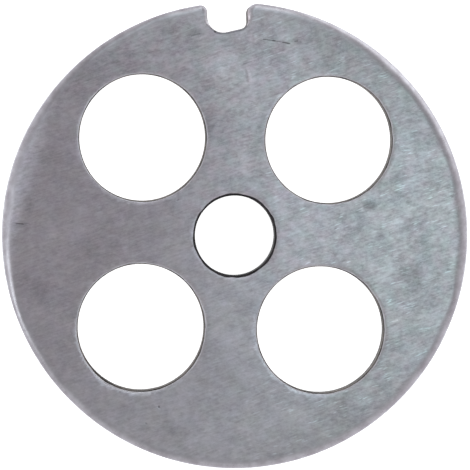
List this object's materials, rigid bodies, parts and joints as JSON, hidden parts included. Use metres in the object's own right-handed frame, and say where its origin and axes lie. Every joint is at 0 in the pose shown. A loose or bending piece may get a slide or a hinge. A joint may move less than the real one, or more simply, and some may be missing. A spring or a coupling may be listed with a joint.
{
  "type": "meat grinder plate",
  "caption": "Flat round steel plate for a meat grinder, with a central bore, large feed holes and a rim notch that keys it against turning.",
  "frame": {"origin": "centre of the bore, halfway between the two faces", "axes": "+Z along the bore axis, square to the faces; +Y from the bore through the rim notch"},
  "size_m": [0.07, 0.0698, 0.008],
  "materials": {
    "plate_steel": "ground"
  },
  "bodies": {
    "root": {"grinder_plate": "plate_steel"}
  },
  "joints": []
}
